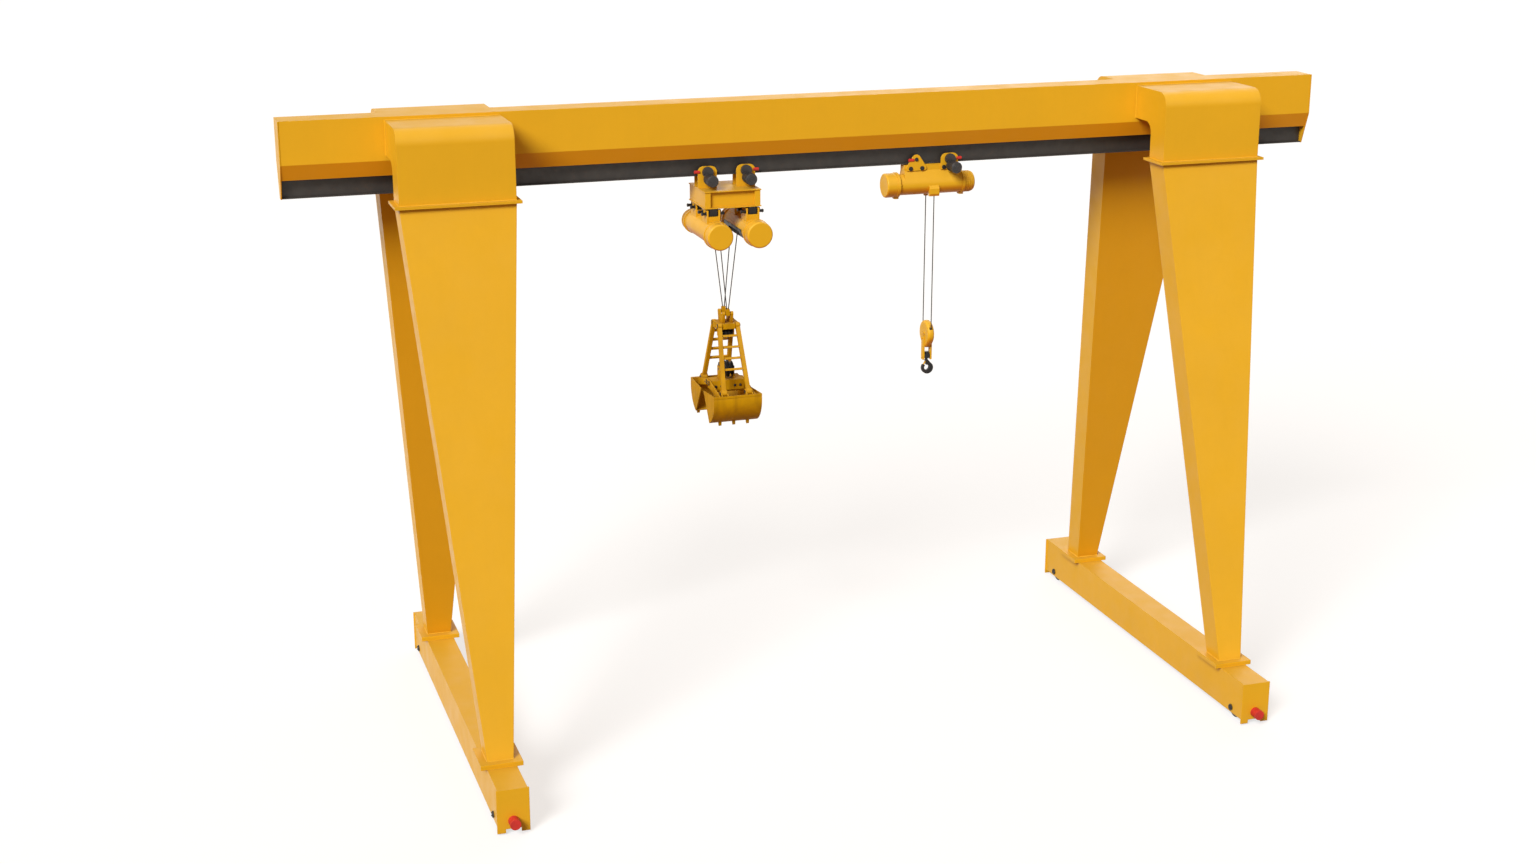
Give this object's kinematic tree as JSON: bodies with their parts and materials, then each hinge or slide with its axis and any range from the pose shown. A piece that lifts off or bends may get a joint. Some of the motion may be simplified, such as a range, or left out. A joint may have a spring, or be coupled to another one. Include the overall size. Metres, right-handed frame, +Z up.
{
  "type": "gantry crane",
  "caption": "Single-girder gantry crane on leaning box legs and wheeled ground beams, with a grab trolley and a hook trolley on one track.",
  "frame": {"origin": "centre of the bounding box at its bottom, under the middle of the girder", "axes": "+X along the girder to its right end, front is -Y, +Z up"},
  "size_m": [16.7, 7.56, 9.82],
  "materials": {
    "yellow_paint": "semi-gloss",
    "worn_yellow_paint": "worn satin",
    "track_steel": "satin",
    "motor_grey": "satin",
    "buffer_red": "matt",
    "wheel_steel": "bare rim",
    "dark_steel": "greased",
    "rope_steel": "wire"
  },
  "bodies": {
    "frame": {"buffers_left": "buffer_red", "buffers_right": "buffer_red", "girder_end_plate_left": "yellow_paint", "girder_end_plate_right": "yellow_paint", "ground_beam_left": "yellow_paint", "ground_beam_right": "yellow_paint", "leg_front_left": "yellow_paint", "leg_front_right": "yellow_paint", "leg_head_front_left": "yellow_paint", "leg_head_front_right": "yellow_paint", "leg_head_rear_left": "yellow_paint", "leg_head_rear_right": "yellow_paint", "leg_rear_left": "yellow_paint", "leg_rear_right": "yellow_paint", "main_girder": "yellow_paint", "track_beam": "track_steel"},
    "grab_trolley": {"grab_hoist_hangers": "dark_steel", "grab_hoist_left": "yellow_paint", "grab_hoist_right": "yellow_paint", "grab_ropes": "rope_steel", "grab_travel_drives": "motor_grey", "grab_trolley_buffers": "buffer_red", "grab_trolley_frame": "yellow_paint", "grab_trolley_plates": "yellow_paint", "grab_trolley_wheels": "wheel_steel"},
    "grab_head": {"grab_hanger": "worn_yellow_paint", "grab_head": "worn_yellow_paint", "grab_upper_sheaves": "dark_steel"},
    "grab_block": {"grab_lower_block": "worn_yellow_paint", "grab_lower_sheaves": "dark_steel"},
    "hook_trolley": {"hook_hoist": "yellow_paint", "hook_ropes": "rope_steel", "hook_travel_drive": "motor_grey", "hook_trolley_buffers": "buffer_red", "hook_trolley_plates": "yellow_paint", "hook_trolley_rods": "dark_steel", "hook_trolley_wheels": "wheel_steel"},
    "hook_block": {"hook_block": "yellow_paint", "hook_sheave": "dark_steel", "hook_crosshead": "dark_steel"},
    "hook": {"hook": "dark_steel", "hook_latch": "yellow_paint"},
    "scoop_front": {"scoop_front": "worn_yellow_paint"},
    "arms_front": {"grab_arms_front": "worn_yellow_paint"},
    "wheel_front_left": {"travel_wheel_front_left": "wheel_steel"},
    "wheel_front_right": {"travel_wheel_front_right": "wheel_steel"},
    "scoop_rear": {"scoop_rear": "worn_yellow_paint"},
    "arms_rear": {"grab_arms_rear": "worn_yellow_paint"},
    "wheel_rear_left": {"travel_wheel_rear_left": "wheel_steel"},
    "wheel_rear_right": {"travel_wheel_rear_right": "wheel_steel"}
  },
  "joints": [
    {"name": "wheel_front_left_spin", "type": "hinge", "parent": "frame", "child": "wheel_front_left", "pos_m": [-6, -3.27, 0.172], "axis": [1, 0, 0], "continuous": true},
    {"name": "wheel_front_right_spin", "type": "hinge", "parent": "frame", "child": "wheel_front_right", "pos_m": [6, -3.27, 0.172], "axis": [1, 0, 0], "continuous": true},
    {"name": "wheel_rear_left_spin", "type": "hinge", "parent": "frame", "child": "wheel_rear_left", "pos_m": [-6, 3.27, 0.172], "axis": [1, 0, 0], "continuous": true},
    {"name": "wheel_rear_right_spin", "type": "hinge", "parent": "frame", "child": "wheel_rear_right", "pos_m": [6, 3.27, 0.172], "axis": [1, 0, 0], "continuous": true},
    {"name": "grab_trolley_travel", "type": "slide", "parent": "frame", "child": "grab_trolley", "axis": [1, 0, 0], "range_m": [-6.135, 2.07]},
    {"name": "hook_trolley_travel", "type": "slide", "parent": "frame", "child": "hook_trolley", "axis": [1, 0, 0], "range_m": [-2.07, 6.13]},
    {"name": "grab_hoist", "type": "slide", "parent": "grab_trolley", "child": "grab_head", "axis": [0, 0, 1], "range_m": [-4.7, 0.7], "deforming": ["grab_ropes"]},
    {"name": "hook_hoist", "type": "slide", "parent": "hook_trolley", "child": "hook_block", "axis": [0, 0, 1], "range_m": [-5.15, 1.6], "deforming": ["hook_ropes"]},
    {"name": "hook_swivel", "type": "hinge", "parent": "hook_block", "child": "hook", "pos_m": [1.715, 0, 5.535], "axis": [0, 0, 1], "continuous": true},
    {"name": "grab_close", "type": "slide", "parent": "grab_head", "child": "grab_block", "axis": [0, 0, 1], "range_m": [-0.04, 0.2225]},
    {"name": "scoop_front_turn", "type": "hinge", "parent": "grab_block", "child": "scoop_front", "pos_m": [-1.68, -0.06, 5.4], "axis": [1, 0, 0], "range_deg": [-6.4, 34.4]},
    {"name": "arms_front_swing", "type": "hinge", "parent": "grab_head", "child": "arms_front", "pos_m": [-1.68, -0.15, 6.33], "axis": [1, 0, 0], "range_deg": [-1.2, 5.8]},
    {"name": "scoop_rear_turn", "type": "hinge", "parent": "grab_block", "child": "scoop_rear", "pos_m": [-1.68, 0.06, 5.4], "axis": [-1, 0, 0], "range_deg": [-6.4, 34.4]},
    {"name": "arms_rear_swing", "type": "hinge", "parent": "grab_head", "child": "arms_rear", "pos_m": [-1.68, 0.15, 6.33], "axis": [-1, 0, 0], "range_deg": [-1.2, 5.8]}
  ],
  "couplings": [
    {"joint": "scoop_front_turn", "follows": "grab_close", "rad_per_m": 2.675},
    {"joint": "arms_front_swing", "follows": "grab_close", "rad_per_m": 0.43},
    {"joint": "scoop_rear_turn", "follows": "grab_close", "rad_per_m": 2.675},
    {"joint": "arms_rear_swing", "follows": "grab_close", "rad_per_m": 0.43}
  ]
}
